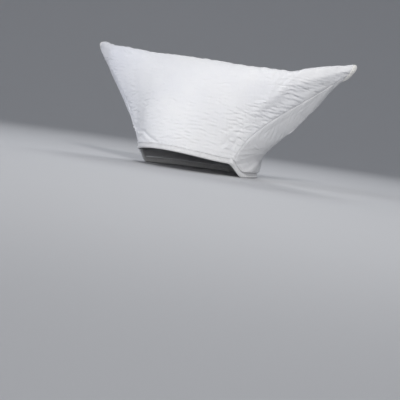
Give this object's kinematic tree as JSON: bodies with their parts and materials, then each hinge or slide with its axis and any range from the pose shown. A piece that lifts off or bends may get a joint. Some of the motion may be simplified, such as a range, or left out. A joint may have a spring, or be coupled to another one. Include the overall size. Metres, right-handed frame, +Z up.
{
  "type": "horned cloth hat",
  "caption": "Cloth hat with a tall smooth front, a rounded back and tapering horns that sweep out sideways to round stuffed tips; open below, with a rolled hem.",
  "frame": {"origin": "on the surface the hat rests on, under the middle of its bounding box", "axes": "+Z up, +X towards the wearer's left and the tip of the left horn, -Y towards the wearer's front"},
  "size_m": [0.4008, 0.1986, 0.1635],
  "materials": {
    "front_cloth": "crinkled white cotton",
    "back_cloth": "plain woven white cotton",
    "hem_cloth": "rolled white cotton hem",
    "tip_cloth": "gathered off-white cotton"
  },
  "bodies": {
    "root": {"front_panel": "front_cloth", "back_panel": "back_cloth", "rim_hem": "hem_cloth", "horn_tip_left": "tip_cloth", "horn_tip_right": "tip_cloth"}
  },
  "joints": []
}
